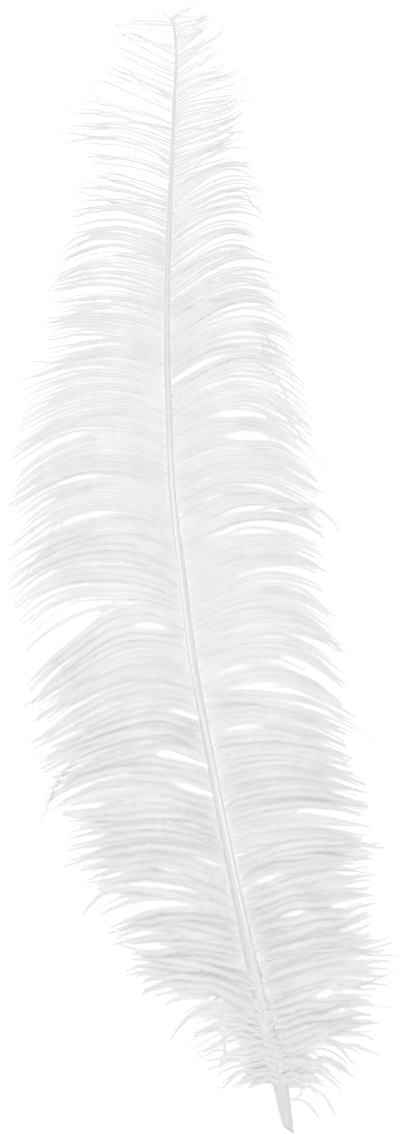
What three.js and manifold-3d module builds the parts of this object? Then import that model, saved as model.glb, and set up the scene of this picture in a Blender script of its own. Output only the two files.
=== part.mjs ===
// An ostrich plume lying loose on a flat surface, with its furrowed underside up.
//
// Millimetres. +Y runs along the plume from the cut quill to the tip, +X is to the right of
// the shaft and +Z is up. The surface is z = 0, and the origin is on it, under the middle of
// the plume. The plume grew as one piece, so it is one solid: a tapering shaft with the locks
// of its two vanes fused to it. A lock is a run of barbs that cling together and part from
// their neighbours towards their ends.

import * as THREE from "three";
import { mergeVertices } from "three/addons/utils/BufferGeometryUtils.js";
import Module from "manifold-3d";

const wasm = await Module();
wasm.setup();
const { Manifold, Mesh } = wasm;

// Driving dimensions

const LOCKS_PER_VANE = 38;
const LOCK_STEPS = 8; // stations along a lock
const LOCK_THICKNESS = 1.1; // at the middle of a lock's width
const LOCK_TIP_WIDTH = 1.0;
const LOCK_TIP_THICKNESS = 0.7;
const LOCK_OVERLAP = 1.08; // root width of a lock over the distance to the next lock
const LOCK_PARTS_AT = 0.55; // share of its length after which a lock narrows
const LOCK_LIFT = 0.5; // how far the edge nearer the plume's tip rides over the next lock
const BARB_HANDLE = 0.4; // length of a barb curve's handles, over the distance root to tip
const BARB_RISE = 0.14; // how high a barb bows up from the shaft, over the same distance

const SHAFT_STEPS = 40;
const SHAFT_SIDES = 10;
const SHAFT_DEPTH = 0.9; // depth of the shaft over its width

const FURROW_FROM = -214; // along Y, where the furrow starts above the hollow quill
const FURROW_TO = 40; // along Y, where it has faded away
const FURROW_STEPS = 14;
const FURROW_WIDTH = 0.3; // over the width of the shaft
const FURROW_DEPTH = 0.22;

const QUILL_BORE = 0.66; // diameter of the hollow in the quill, over its width
const QUILL_BORE_DEPTH = 16;
const QUILL_CUT = { x: 44, y: -281, degrees: -36 }; // the slanting cut across its end

// The line of the shaft from quill to tip, with its height and width: x, y, z, width
const SHAFT = [
  [44.5, -283.5, 2.8, 6.2],
  [40.5, -260, 3.47, 7.7],
  [37.5, -246, 4.2, 7.6],
  [30, -216, 5.8, 7.0],
  [24.5, -191.5, 7.4, 6.4],
  [19, -166, 8.8, 5.7],
  [11, -126, 10.2, 5.0],
  [3.5, -86, 11.4, 4.5],
  [-3.5, -46, 12.2, 4.2],
  [-8.5, -6, 12.6, 4.0],
  [-13.5, 34, 12.6, 3.7],
  [-15.5, 74, 12.2, 3.5],
  [-16.5, 114, 11.4, 3.2],
  [-16, 154, 10.2, 2.9],
  [-14.5, 194, 8.4, 2.5],
  [-13, 232, 6.0, 1.9],
  [-12, 254, 4.2, 1.5],
  [-12.5, 267, 3.0, 1.3],
  [-14, 275, 2.2, 1.1],
  [-19, 279, 1.4, 0.9],
];

// Guide barbs of each vane from the tip down to the quill. Each is the height of its root
// along Y, the x and y of its end, and the angles at which it leaves the shaft and ends, in
// degrees above straight out sideways.
const LEFT_VANE = [
  [278, -35.5, 276, 5, -8],
  [269, -48.5, 273, 8, 5],
  [236, -47.5, 251, 20, 25],
  [219, -68.5, 231, 18, 3],
  [205, -69, 214.5, 30, -3],
  [191, -52.5, 205, 22, 20],
  [171, -65, 176.5, 22, -12],
  [158, -69.5, 156, 32, -55],
  [131, -76, 135, 22, -5],
  [104, -81, 105.5, 22, -18],
  [86, -92, 80.5, 24, -28],
  [56, -95.5, 42, 26, -40],
  [31, -94, 23, 28, -38],
  [11, -97, -5.5, 32, -40],
  [-22, -89, -31, 28, -38],
  [-30, -86, -57, 30, -52],
  [-58, -81, -75, 26, -32],
  [-68, -84.5, -87.5, 25, -28],
  [-111, -78.5, -119, 30, -35],
  [-128, -67, -124.5, 22, 0],
  [-150, -67.5, -150, 32, -22],
  [-172, -49.5, -175, 20, -35],
  [-206, -35.5, -197, 18, 0],
  [-222, -25, -217.5, 25, -35],
  [-228, -9, -228.5, 28, -48],
  [-236, -6.5, -238.5, 25, -35],
  [-254, 8.5, -263, 35, -55],
];
const RIGHT_VANE = [
  [278, -0.5, 281, 20, 25],
  [272, 3.5, 279, 10, 50],
  [253, 14, 269, 42, 35],
  [238, 23, 244.5, 28, 0],
  [221, 19.5, 235, 22, 45],
  [206, 20, 223, 24, 50],
  [191, 26.5, 203.5, 32, -10],
  [176, 31.5, 190.5, 34, -18],
  [158, 28.5, 169, 34, -25],
  [134, 34.5, 150, 30, -25],
  [124, 40, 137, 38, -35],
  [101, 47, 107.5, 38, -50],
  [84, 53.5, 88.5, 38, -42],
  [68, 56.5, 61.5, 36, -50],
  [34, 61, 30, 30, -42],
  [10, 63.5, 13, 36, -38],
  [-26, 66.5, -26, 35, -42],
  [-51, 73.5, -67.5, 28, -58],
  [-62, 74.5, -76, 20, -32],
  [-90, 79, -97, 22, -18],
  [-113, 85, -115, 24, -20],
  [-147, 86.5, -143.5, 25, -12],
  [-161, 86, -148, 32, 5],
  [-193, 86, -179, 24, 12],
  [-208, 99, -195, 22, 0],
  [-222, 89, -215, 18, -14],
  [-240, 89, -232.5, 12, -4],
  [-246, 83, -245.5, 15, -30],
  [-254, 72.5, -264, 22, -60],
  [-260, 58.5, -277, 10, -50],
];

// Lines and guides

const { lerp, smoothstep, degToRad } = THREE.MathUtils;
const shaftLine = new THREE.CatmullRomCurve3(SHAFT.map(([x, y, z]) => new THREE.Vector3(x, y, z)));

/** The row of numbers at one value of a table's key column, blended between its rows. */
function rowAt(table, column, key) {
  const rising = table[0][column] < table[table.length - 1][column];
  const rows = rising ? table : [...table].reverse();
  const last = rows.length - 1;
  const kept = Math.min(Math.max(key, rows[0][column]), rows[last][column]);
  const above = Math.max(rows.findIndex((row) => row[column] >= kept), 1);
  const low = rows[above - 1];
  const high = rows[above];
  const share = (kept - low[column]) / (high[column] - low[column]);
  return low.map((value, index) => lerp(value, high[index], share));
}

/** The middle of the shaft and its width at a height along Y. */
function shaftAt(y) {
  const [x, , z, width] = rowAt(SHAFT, 1, y);
  return { centre: new THREE.Vector3(x, y, z), width };
}

/** One barb: a cubic curve from the shaft, bowing up and out and then down to the surface. */
function barbCurve(vane, side, rootY) {
  const [, tipX, tipY, startDegrees, endDegrees] = rowAt(vane, 0, rootY);
  const root = shaftAt(rootY).centre;
  const tip = new THREE.Vector3(tipX, tipY, LOCK_TIP_THICKNESS / 2);
  const reach = root.distanceTo(tip);
  const handle = (degrees, sense) => {
    const angle = degToRad(degrees);
    return new THREE.Vector3(side * Math.cos(angle), Math.sin(angle), 0)
      .multiplyScalar(sense * BARB_HANDLE * reach);
  };
  const leaving = root.clone().add(handle(startDegrees, 1));
  const arriving = tip.clone().add(handle(endDegrees, -1));
  leaving.z += BARB_RISE * reach;
  arriving.z = root.z * 0.7 + BARB_RISE * reach * 0.6;
  return new THREE.CubicBezierCurve3(root, leaving, arriving, tip);
}

// Solids

/** A closed solid from a three.js geometry. */
function solidOf(geometry) {
  const bare = geometry.clone();
  bare.deleteAttribute("normal");
  bare.deleteAttribute("uv");
  const merged = mergeVertices(bare, 1e-4);
  return new Manifold(new Mesh({
    numProp: 3,
    vertProperties: new Float32Array(merged.attributes.position.array),
    triVerts: new Uint32Array(merged.index.array),
  }));
}

/** A unit cylinder bent to shape: place(along, across, up) says where each point goes. */
function carried(sides, steps, place) {
  const geometry = new THREE.CylinderGeometry(1, 1, 1, sides, steps);
  const position = geometry.attributes.position;
  for (let i = 0; i < position.count; i += 1) {
    const point = place(position.getY(i) + 0.5, position.getX(i), position.getZ(i));
    position.setXYZ(i, point.x, point.y, point.z);
  }
  return solidOf(geometry);
}

/** The shaft, swept along its own line so that the hooked tip keeps its thickness. */
function shaftSolid() {
  return carried(SHAFT_SIDES, SHAFT_STEPS, (along, across, up) => {
    const centre = shaftLine.getPoint(along);
    const tangent = shaftLine.getTangent(along);
    const sideways = new THREE.Vector3(tangent.y, -tangent.x, 0).normalize();
    const { width } = shaftAt(centre.y);
    centre.addScaledVector(sideways, across * width / 2);
    centre.z += up * SHAFT_DEPTH * width / 2;
    return centre;
  });
}

/** The furrow down the underside, deepest in its middle and fading at both ends. */
function furrowCutter() {
  const fade = (along) => 0.2 + 0.8 * Math.sin(Math.PI * along) ** 0.5;
  return carried(4, FURROW_STEPS, (along, across, up) => {
    const { centre, width } = shaftAt(lerp(FURROW_FROM, FURROW_TO, along));
    centre.x += across * fade(along) * FURROW_WIDTH * width / 2;
    centre.z += (SHAFT_DEPTH / 2 + up * fade(along) * FURROW_DEPTH) * width;
    return centre;
  });
}

/** The hollow inside the cut quill. */
function quillBore() {
  const mouth = QUILL_CUT.y - 6;
  return carried(8, 2, (along, across, up) => {
    const y = lerp(mouth, QUILL_CUT.y + QUILL_BORE_DEPTH, along);
    const { centre, width } = shaftAt(y);
    centre.y = y;
    centre.x += across * QUILL_BORE * width / 2;
    centre.z += up * QUILL_BORE * SHAFT_DEPTH * width / 2;
    return centre;
  });
}

/** A block whose top face is the slanting cut across the end of the quill. */
function quillCut() {
  const block = new THREE.BoxGeometry(40, 20, 40);
  block.translate(0, -10, 0);
  block.rotateZ(degToRad(QUILL_CUT.degrees));
  block.translate(QUILL_CUT.x, QUILL_CUT.y, 0);
  return solidOf(block);
}

/** One lock: a thin blade between two barbs that draw together towards their ends. */
function lockSolid(vane, side, rootY, spacing) {
  return carried(4, LOCK_STEPS, (along, across, up) => {
    const drawn = 1 - smoothstep(along, LOCK_PARTS_AT, 1);
    const towardsTip = -side * across;
    const rootShift = towardsTip * drawn * spacing * LOCK_OVERLAP / 2;
    const point = barbCurve(vane, side, rootY + rootShift).getPoint(along);
    const ahead = barbCurve(vane, side, rootY).getTangent(along);
    const sideways = new THREE.Vector3(-side * ahead.y, side * ahead.x, 0).normalize();
    point.addScaledVector(sideways, towardsTip * LOCK_TIP_WIDTH / 2);
    point.z += towardsTip * LOCK_LIFT * drawn;
    point.z += up * lerp(LOCK_THICKNESS, LOCK_TIP_THICKNESS, along) / 2;
    return point;
  });
}

/** All the locks of one vane. */
function vaneLocks(vane, side) {
  const first = vane[0][0];
  const last = vane[vane.length - 1][0];
  const spacing = (first - last) / (LOCKS_PER_VANE - 1);
  return Array.from({ length: LOCKS_PER_VANE }, (_, index) => (
    lockSolid(vane, side, first - index * spacing, spacing)
  ));
}

/** The whole plume as one body. */
function plumeSolid() {
  const shaft = shaftSolid().subtract(furrowCutter());
  const locks = [...vaneLocks(LEFT_VANE, -1), ...vaneLocks(RIGHT_VANE, 1)];
  return Manifold.union([shaft, ...locks])
    .subtract(quillBore())
    .subtract(quillCut());
}

/** A three.js geometry from a solid. */
function geometryOf(solid) {
  const mesh = solid.getMesh();
  const geometry = new THREE.BufferGeometry();
  geometry.setAttribute("position", new THREE.BufferAttribute(mesh.vertProperties, 3));
  geometry.setIndex(new THREE.BufferAttribute(mesh.triVerts, 1));
  geometry.computeVertexNormals();
  return geometry;
}

const barbWhite = new THREE.MeshStandardMaterial({ color: 0xf0efec, roughness: 0.85, metalness: 0 });

const plume = new THREE.Group();
const feather = new THREE.Mesh(geometryOf(plumeSolid()), barbWhite);
feather.name = "feather";
plume.add(feather);

export default plume;
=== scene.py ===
"""A white ostrich plume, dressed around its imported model.

Lengths are metres in the model's own frame: +Y runs along the plume from the cut quill to the
tip, +X is to the right of the shaft and +Z is up from the surface that the plume lies on.
The tables of shapes below are in millimetres and degrees, as the plume's own source has them.
"""

import bpy
import numpy as np
from bpy.props import FloatProperty, FloatVectorProperty, IntProperty, PointerProperty
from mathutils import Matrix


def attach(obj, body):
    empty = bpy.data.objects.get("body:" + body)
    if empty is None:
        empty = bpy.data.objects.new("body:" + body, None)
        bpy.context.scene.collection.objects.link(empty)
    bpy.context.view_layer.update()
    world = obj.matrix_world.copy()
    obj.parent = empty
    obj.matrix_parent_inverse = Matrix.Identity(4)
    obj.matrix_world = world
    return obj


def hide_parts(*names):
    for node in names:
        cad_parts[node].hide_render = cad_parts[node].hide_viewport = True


bl_info = {
    "name": "Ostrich Plume",
    "version": (1, 0, 0),
    "blender": (4, 5, 0),
    "location": "3D View > Sidebar > Plume",
    "description": "Builds a loose-barbed white ostrich plume lying on a pale floor",
    "category": "Add Mesh",
}

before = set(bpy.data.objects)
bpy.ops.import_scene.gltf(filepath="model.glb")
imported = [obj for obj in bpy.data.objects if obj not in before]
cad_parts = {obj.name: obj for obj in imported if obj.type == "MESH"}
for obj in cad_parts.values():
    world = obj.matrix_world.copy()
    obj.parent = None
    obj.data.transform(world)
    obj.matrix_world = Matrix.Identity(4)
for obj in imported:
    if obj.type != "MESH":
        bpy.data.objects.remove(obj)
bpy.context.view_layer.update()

MM = 0.001  # metres
BODY = "root"
NODE = "feather"

# Seeds of the random numbers of each piece
SEEDS = {
    "left_cells": 11, "right_cells": 12, "left_vane": 21, "right_vane": 22, "down": 31,
    "tip_strays": 41, "left_strays": 42, "right_strays": 43, "quill_strays": 44,
}

# The shaft, as in the plume's source, and the guide barbs, more finely than there

# The line of the shaft from quill to tip, with its height and width: x, y, z, width
SHAFT = [
    (44.5, -283.5, 2.8, 6.2), (40.5, -260, 3.47, 7.7), (37.5, -246, 4.2, 7.6), (30, -216, 5.8, 7.0),
    (24.5, -191.5, 7.4, 6.4), (19, -166, 8.8, 5.7), (11, -126, 10.2, 5.0), (3.5, -86, 11.4, 4.5),
    (-3.5, -46, 12.2, 4.2), (-8.5, -6, 12.6, 4.0), (-13.5, 34, 12.6, 3.7), (-15.5, 74, 12.2, 3.5),
    (-16.5, 114, 11.4, 3.2), (-16, 154, 10.2, 2.9), (-14.5, 194, 8.4, 2.5), (-13, 232, 6.0, 1.9),
    (-12, 254, 4.2, 1.5), (-12.5, 267, 3.0, 1.3), (-14, 275, 2.2, 1.1), (-19, 279, 1.4, 0.9),
]

# Guide barbs: height of the root along Y, x and y of the end, and the angles at which the barb
# leaves the shaft and ends, in degrees above straight out sideways
LEFT_GUIDES = [
    (278, -35.5, 276, 5, -8), (269, -48.5, 273, 8, 5), (254, -40, 268, 22, 30),
    (236, -47.5, 251, 20, 25), (225, -58, 241, 18, 25), (219, -68.5, 231, 18, 3),
    (205, -69, 214.5, 30, -3), (191, -52.5, 205, 22, 20), (181.5, -62, 191, 18, 15),
    (171, -65, 175, 22, -18), (158, -69.5, 157, 26, -36), (144, -73, 145.5, 24, -24),
    (131, -76, 134.5, 22, -10), (116.5, -77, 123, 22, -3), (104, -81, 105.5, 22, -18),
    (86, -92, 80.5, 24, -28), (56, -95.5, 42, 26, -40), (31, -94, 23, 28, -38),
    (24, -95, 9, 30, -38), (11, -97, -5.5, 32, -40), (-15, -93, -22, 30, -38),
    (-22, -89, -31, 28, -38), (-24.5, -86.5, -56.5, 30, -52), (-34, -85, -64, 28, -47),
    (-45, -84, -71, 25, -42), (-58, -82.5, -79.5, 26, -34), (-69, -84, -88.5, 25, -28),
    (-98.5, -77.5, -106, 28, -20), (-111, -78.5, -119, 30, -35), (-128, -67, -124.5, 22, 0),
    (-150, -67.5, -150, 32, -22), (-161, -54.5, -158, 22, -25), (-172, -49.5, -175, 20, -35),
    (-193.5, -37, -191.5, 15, -8), (-206, -35.5, -197, 18, 0), (-215, -35, -209.5, 25, -20),
    (-222, -25, -217.5, 25, -35), (-228, -9, -228.5, 28, -48), (-236, -6.5, -238.5, 25, -35),
    (-243.5, 0.5, -249.5, 10, -30), (-254, 8.5, -263, 35, -55),
]
RIGHT_GUIDES = [
    (278, -0.5, 281, 20, 25), (272, 3.5, 279, 10, 50), (253, 9.5, 268.5, 42, 42),
    (245, 8, 260, 36, 42), (239, 21, 249, 28, 5), (229, 23.5, 241, 26, 25),
    (221, 20.5, 234.5, 22, 42), (206, 20, 223, 24, 50), (199, 18.5, 212.5, 24, 22),
    (191, 26.5, 203.5, 26, -10), (176, 31.5, 190.5, 29, -18), (158, 28.5, 169, 34, -25),
    (144, 31, 158.5, 30, -30), (134, 34.5, 150, 30, -25), (124, 40, 137, 34, -35),
    (111.5, 43, 126, 36, -35), (101, 47, 107.5, 38, -50), (84, 53.5, 88.5, 38, -42),
    (68, 56.5, 61.5, 36, -50), (51.5, 59, 47.5, 30, -38), (34, 61, 30, 30, -42),
    (24, 62.5, 22, 40, -42), (10, 63.5, 13, 36, -38), (-16, 65, -9, 30, -30),
    (-26, 66.5, -26, 35, -42), (-38.5, 70, -43, 32, -45), (-51, 73, -61, 28, -52),
    (-62, 75, -74.5, 22, -36), (-77, 76.5, -86, 22, -22), (-90, 79, -97, 22, -18),
    (-113, 85, -115, 24, -20), (-137, 86.5, -135, 22, -12), (-147, 86.5, -143.5, 25, -12),
    (-161, 86, -148, 32, 5), (-178.5, 86.5, -166, 25, 6), (-193, 86, -179, 24, 12),
    (-208, 99, -195, 22, 0), (-222, 89, -215, 18, -14), (-240, 89, -232.5, 12, -4),
    (-246, 83, -245.5, 15, -30), (-254, 72.5, -264, 22, -60), (-260, 58.5, -277, 10, -50),
]

# Partings, where the barbs stand open: x and y of the middle, half the length along the barbs,
# and the width of the opening
LEFT_PARTINGS = [
    (-60, 115.5, 14, 1.6), (-67, 64, 14, 1.3), (-62.5, 43, 16, 2.0), (-62, 23.5, 28, 3.6),
    (-70, -22, 22, 5.0), (-24, -29, 10, 2.2), (-9, -73, 9, 2.6), (-11, -93.5, 16, 6.0),
    (-32, -96, 9, 1.8), (-5, -108.5, 12, 3.4), (-5, -127, 9, 2.0), (3.5, -146, 10, 2.4),
    (-16.5, -150, 8, 1.5), (14, -219.5, 6, 3.0), (20, -239, 8, 5.0),
]
RIGHT_PARTINGS = [
    (-2.5, 101, 16, 2.4), (22.5, 77, 12, 2.2), (25, 67, 12, 2.4), (7.5, 36.5, 12, 2.0),
    (31.5, 39, 12, 2.2), (27.5, 30, 18, 2.0), (25, 19.5, 12, 1.4), (48.5, -47.5, 10, 1.4),
    (17.5, -51, 10, 1.0), (33, -59, 22, 3.0), (21.5, -79, 13, 2.2), (64, -94.5, 11, 2.0),
    (71.5, -108, 15, 3.0), (27, -141, 10, 1.8), (33.5, -155, 12, 2.0), (65, -156, 11, 3.0),
    (70, -169, 6, 2.5), (46.5, -173.5, 10, 2.4), (62, -213, 6, 2.0), (56, -242, 7, 4.0),
]

# Single barbs and wisps that stray from the vanes: the number of barbs that lie together, the
# height of their root along Y, then x and y of each point on their way outwards
TIP_STRAYS = [
    (1, 274, -16, 277, -19, 279, -24, 278, -28.5, 277),
    (2, 275, -12.5, 278.5, -8, 281, -1.5, 283),
    (2, 273.5, -11.5, 277.5, -7, 280.5, -4, 281),
    (1, 278.5, -15, 280.5, -9, 282),
    (2, 267, -9, 270, -4, 271.5, -0.5, 275, 3, 280),
    (1, 265, -5, 269.5, -0.5, 273, 2, 277),
]
LEFT_STRAYS = [
    (1, 273, -20, 272.5, -25, 274.5, -29, 275),
    (1, 269.5, -22.5, 270, -27.5, 270.5, -35, 271, -41, 272.5, -48, 276.5),
    (1, 266.5, -25, 268.5, -35, 270.5),
    (1, 261.5, -25, 265.5, -35, 267.5, -41, 269, -48, 271.5),
    (1, 254, -20, 255, -25, 257.5, -28.5, 260.5, -31, 263),
    (2, 234, -22.5, 238.5, -30, 242.5, -37.5, 245.5, -47.5, 250.5),
    (1, 235, -25, 241.5, -37.5, 244, -55, 246),
    (2, 223, -25, 227.5, -35, 230.5, -46, 233.5, -52.5, 237.5, -58.5, 241),
    (1, 220.5, -27.5, 226.5, -40, 229, -57.5, 229, -67.5, 231),
    (2, 203, -25, 209.5, -37.5, 214, -47.5, 215, -64, 214.5, -70, 213.5),
    (1, 205.5, -25, 211, -40, 216.5, -55, 218, -63, 218),
    (1, 191, -27.5, 196, -40, 198.5, -48, 200.5, -52, 203.5, -52, 205.5),
    (2, 187.5, -27.5, 191, -40, 195, -49, 197.5, -52, 200, -52.5, 204),
    (1, 183.5, -30, 188, -42.5, 190.5, -51.5, 190.5, -56, 192.5, -59, 196),
    (2, 181, -30, 185, -45, 186, -55, 187.5, -61, 189, -64, 189),
    (1, 176, -30, 180, -45, 181, -54, 180, -60, 178.5, -65, 176.5),
    (1, 167, -35, 170, -47.5, 169.5, -58, 169, -64, 165.5, -68, 160, -69.5, 156),
    (1, 163, -35, 166, -47.5, 167, -56, 165.5, -62.5, 160.5, -68, 156, -72, 153),
    (1, 157, -35, 161, -50, 161.5, -59, 159, -67, 153, -71, 145.5),
    (1, 155, -40, 158, -55, 157, -64, 152.5, -70, 147),
    (1, 149, -35, 153, -52.5, 151.5, -64, 148, -72, 145, -75, 141.5),
    (1, 138, -35, 141.5, -50, 142, -62.5, 142, -70, 140, -74, 139.5),
    (1, 132, -40, 136, -57.5, 135, -70, 136, -75.5, 135),
    (1, 133, -45, 137, -62.5, 136.5, -69, 133.5, -72, 129.5),
    (1, 23, -35, 33.5, -60, 30, -77.5, 23, -87.5, 15, -94.5, 8.5),
    (1, 21, -35, 30.5, -57.5, 28, -72.5, 20.5, -80, 14, -87.5, 9),
    (1, 17, -30, 27, -50, 29, -64, 26.5, -71, 19, -75, 11.5),
    (1, -27, -25, -19, -41.5, -16, -60, -17.5, -69, -21, -77.5, -27, -88.5, -36.5),
    (1, -48, -25, -36, -50, -36, -70, -43.5, -80, -52, -86.5, -57.5),
    (1, -64, -25, -51, -50, -50, -69, -61, -77.5, -66, -85, -69.5),
    (1, -80, -25, -67, -50, -68.5, -67.5, -78.5, -76, -83.5, -84.5, -88.5),
    (1, -90, -25, -78, -50, -81, -67.5, -88.5, -77.5, -94.5, -85, -98),
    (1, -95, -25, -84.5, -50, -88.5, -64, -98, -71, -108, -75, -118, -78.5, -130),
    (1, -98, -25, -88.5, -50, -94.5, -65, -106, -72.5, -114.5, -79, -119),
]
RIGHT_STRAYS = [
    (1, 251, -5, 255.5, 1, 260.5, 5, 265, 8, 268),
    (1, 246, -5, 249.5, 1, 253.5, 4, 256),
    (1, 236, -2.5, 242, 7.5, 244, 17.5, 244.5, 28, 246),
    (1, 233, 0, 238.5, 11, 240, 20, 241.5, 23.5, 243),
    (1, 227, 0, 232.5, 11, 235.5, 15, 238.5),
    (1, 222, 2.5, 231, 16, 234.5, 28, 234),
    (1, 219, 0, 225, 11, 228, 17, 231.5, 20, 235.5),
    (1, 178, 5, 187, 20, 188.5, 27, 184.5, 31.5, 178.5),
    (1, 172, 5, 182, 20, 185, 28.5, 181.5, 34.5, 176),
    (1, 139, 2.5, 148, 20, 149, 31, 144.5, 35, 141.5, 39.5, 137),
    (1, 126.5, 2.5, 134, 20, 137.5, 31, 134.5, 36, 130, 40.5, 123.5),
    (1, 124, 2.5, 132, 22.5, 135, 35, 131.5, 44.5, 126.5),
    (1, 108, 5, 121.5, 25, 121.5, 36, 117, 44, 111.5, 49, 104),
    (2, 105, 5, 117, 27.5, 119, 36, 111.5, 42.5, 103, 46.5, 93.5),
    (1, 96, 7.5, 110, 25, 109, 37.5, 103, 47.5, 95, 53.5, 88.5),
    (2, 85, 10, 98, 27.5, 98, 40, 91.5, 48, 83, 56, 74.5),
    (1, 78, 10, 90.5, 31, 90, 42.5, 82.5, 49, 74, 54.5, 64),
    (1, 112, 5, 124, 20, 125, 29, 119, 33, 108, 35.5, 95, 36.5, 84),
    (1, 90, 7.5, 103, 25, 103, 37, 96, 43, 84, 46, 72, 49, 60),
    (1, 70, 10, 84, 30, 84, 43, 76, 50, 66, 57, 57, 66, 49),
    (1, 75, 7.5, 89, 24, 90, 31, 83.5, 35.5, 74, 36, 64),
    (1, 73, 10, 85.5, 31, 87.5, 40, 81, 45.5, 71.5, 47.5, 60),
    (1, 64, 10, 78, 30, 77.5, 42.5, 69, 50, 61.5, 57.5, 54),
    (1, 58, 15, 73, 35, 74.5, 47.5, 73, 58.5, 68.5),
    (2, 31.5, 15, 44, 35, 46, 50, 44.5, 56, 41.5, 65.5, 36),
    (1, -43.5, 20, -26, 45, -22, 61, -29, 71, -32.5),
    (1, -76, 20, -63, 45, -60, 61, -66, 74, -75),
    (2, -79, 20, -66, 45, -63, 62.5, -70, 74, -78, 86.5, -86),
    (1, -166, 45, -155.5, 70, -153.5, 90, -154.5),
    (1, -172, 45, -162.5, 70, -163, 82.5, -160.5, 91.5, -158.5),
    (2, -193.5, 40, -185, 60, -187.5, 75, -184.5, 86.5, -178.5),
    (2, -202, 45, -193, 72.5, -191, 86, -193.5, 99, -194.5),
    (1, -216, 50, -209, 75, -209, 87.5, -206.5, 98.5, -202.5),
]
QUILL_STRAYS = [
    (2, -227, 16, -221, 7.5, -218, 0, -221, -9, -228.5),
    (1, -234, 19, -227, 11, -227, 0, -232.5, -6.5, -236),
    (1, -238, 21, -232, 12.5, -232.5, 3.5, -234.5, -5, -239),
    (1, -244, 25, -237, 17.5, -235.5, 12.5, -238, 10.5, -245, 8.5, -253.5),
    (1, -250, 29, -243, 22.5, -241.5, 16, -243.5, 11, -246.5, 9.5, -252),
    (2, -252, 28, -246, 21, -245, 14, -248, 10.5, -252.5),
    (1, -251, 28, -244.5, 21, -244, 14, -247, 6, -248.5, 0, -249.5),
    (1, -260, 31, -254.5, 23.5, -253, 17.5, -255, 11, -261, 8, -263),
    (1, -262, 32, -257.5, 26, -256),
    (1, -258, 49, -255, 53, -256, 57, -261, 59, -267.5),
    (1, -261, 51, -260, 57.5, -262, 63, -265.5, 66, -272, 69, -277),
    (1, -268, 49, -267, 53, -269.5, 56.5, -273.5, 59, -278),
    (1, -261, 49, -259.5, 51, -262.5, 49.5, -266, 45.5, -267),
    (1, -257, 50, -252, 59, -253, 64, -256, 68, -261, 72, -266.5),
    (1, -256, 52.5, -250, 62.5, -252, 67, -255, 70.5, -259.5),
    (1, -253, 50, -247, 59, -247.5, 67, -250, 72, -253.5),
    (1, -249, 50, -242.5, 60, -241, 67, -243.5, 71.5, -247, 75, -251),
    (2, -246, 50, -239, 61, -238, 70, -242, 75, -246, 79.5, -251),
    (1, -244, 50, -237, 60, -235.5, 68, -238, 75, -242, 83, -245.5),
    (1, -238, 50, -231, 65, -230.5, 72.5, -232.5, 80, -233.5, 89, -233),
    (1, -234, 50, -227, 67.5, -227, 77.5, -227.5, 85.5, -228),
    (1, -229, 50, -222.5, 67.5, -220.5, 77.5, -220, 85, -220.5, 94, -221.5),
    (1, -231, 50, -225, 67.5, -224, 80, -224, 85.5, -225),
]

# How the plume changes along Y, as (height along Y, value) pairs

# How wildly the barbs lie, over the usual
LEFT_UNRULY = [
    (-262, 2.4), (-180, 2.2), (-110, 1.4), (-60, 1.0), (100, 0.8), (130, 1.5), (160, 1.8), (279, 1.8),
]
RIGHT_UNRULY = [
    (-262, 2.4), (-180, 2.0), (-110, 1.3), (30, 1.2), (60, 1.6), (120, 1.4), (160, 1.0), (279, 1.2),
]
# The share of the barbs that are there
LEFT_KEPT = [(-262, 0.3), (-246, 0.45), (-238, 1.0), (130, 1.0), (180, 0.8), (210, 0.55), (279, 0.55)]
RIGHT_KEPT = [(-262, 0.3), (-250, 0.4), (-240, 1.0), (279, 1.0)]
# How strongly they draw together in wisps and locks
CLING_ALONG_Y = [(-262, 0.8), (-100, 0.75), (0, 0.95), (80, 0.9), (160, 0.3), (190, 0.15), (279, 0.1)]
# The width of a barb, and the length of its barbules, over the usual
STEM_ALONG_Y = [(-262, 1.0), (100, 1.0), (170, 1.15), (200, 1.1), (279, 0.95)]
LEFT_FRINGE = [
    (-262, 0.5), (-240, 0.6), (-224, 1.3), (-150, 1.25), (-60, 1.1), (60, 0.95), (120, 0.75),
    (170, 0.52), (200, 0.38), (279, 0.32),
]
RIGHT_FRINGE = [
    (-262, 0.5), (-254, 0.7), (-240, 1.3), (-150, 1.2), (-60, 1.05), (60, 0.95), (120, 0.72),
    (170, 0.5), (230, 0.42), (279, 0.34),
]
QUILL_FRINGE = [(0, 1.3)]


# Small tools for arrays


def blend_table(pairs, at):
    """The value at each place, on straight lines between the (place, value) pairs."""
    places, values = np.array(pairs, float).T
    return np.interp(at, places, values)


def ease(low, high, value):
    """0 below low, 1 above high, and 3 s^2 - 2 s^3 of the share s between them."""
    share = np.clip((value - low) / (high - low), 0, 1)
    return share * share * (3 - 2 * share)


def unit(vectors):
    """Each vector divided by its own length."""
    return vectors / np.maximum(np.linalg.norm(vectors, axis=-1, keepdims=True), 1e-12)


def smooth_line(points, count):
    """A Catmull-Rom curve: between two points, the cubic whose slope at each point is half the
    step from the point before it to the point after it."""
    points = np.array(points, float)
    last = len(points) - 1
    at = np.linspace(0, last, count)
    index = np.minimum(at.astype(int), last - 1)
    s = (at - index)[:, None]
    before = points[np.maximum(index - 1, 0)]
    start = points[index]
    end = points[index + 1]
    after = points[np.minimum(index + 2, last)]
    return 0.5 * (
        2 * start
        + (end - before) * s
        + (2 * before - 5 * start + 4 * end - after) * s**2
        + (3 * start - before - 3 * end + after) * s**3
    )


def slow_noise(at, wavelength, rng):
    """A smooth random wave of about unit size: the sum of four sines near one wavelength."""
    lengths = wavelength * rng.uniform(0.6, 1.7, 4)
    phases = rng.uniform(0, 2 * np.pi, 4)
    waves = np.sin(2 * np.pi * at[..., None] / lengths + phases)
    return waves.sum(-1) / np.sqrt(2)


SHAFT_LINE = smooth_line(SHAFT, count=800)


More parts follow.
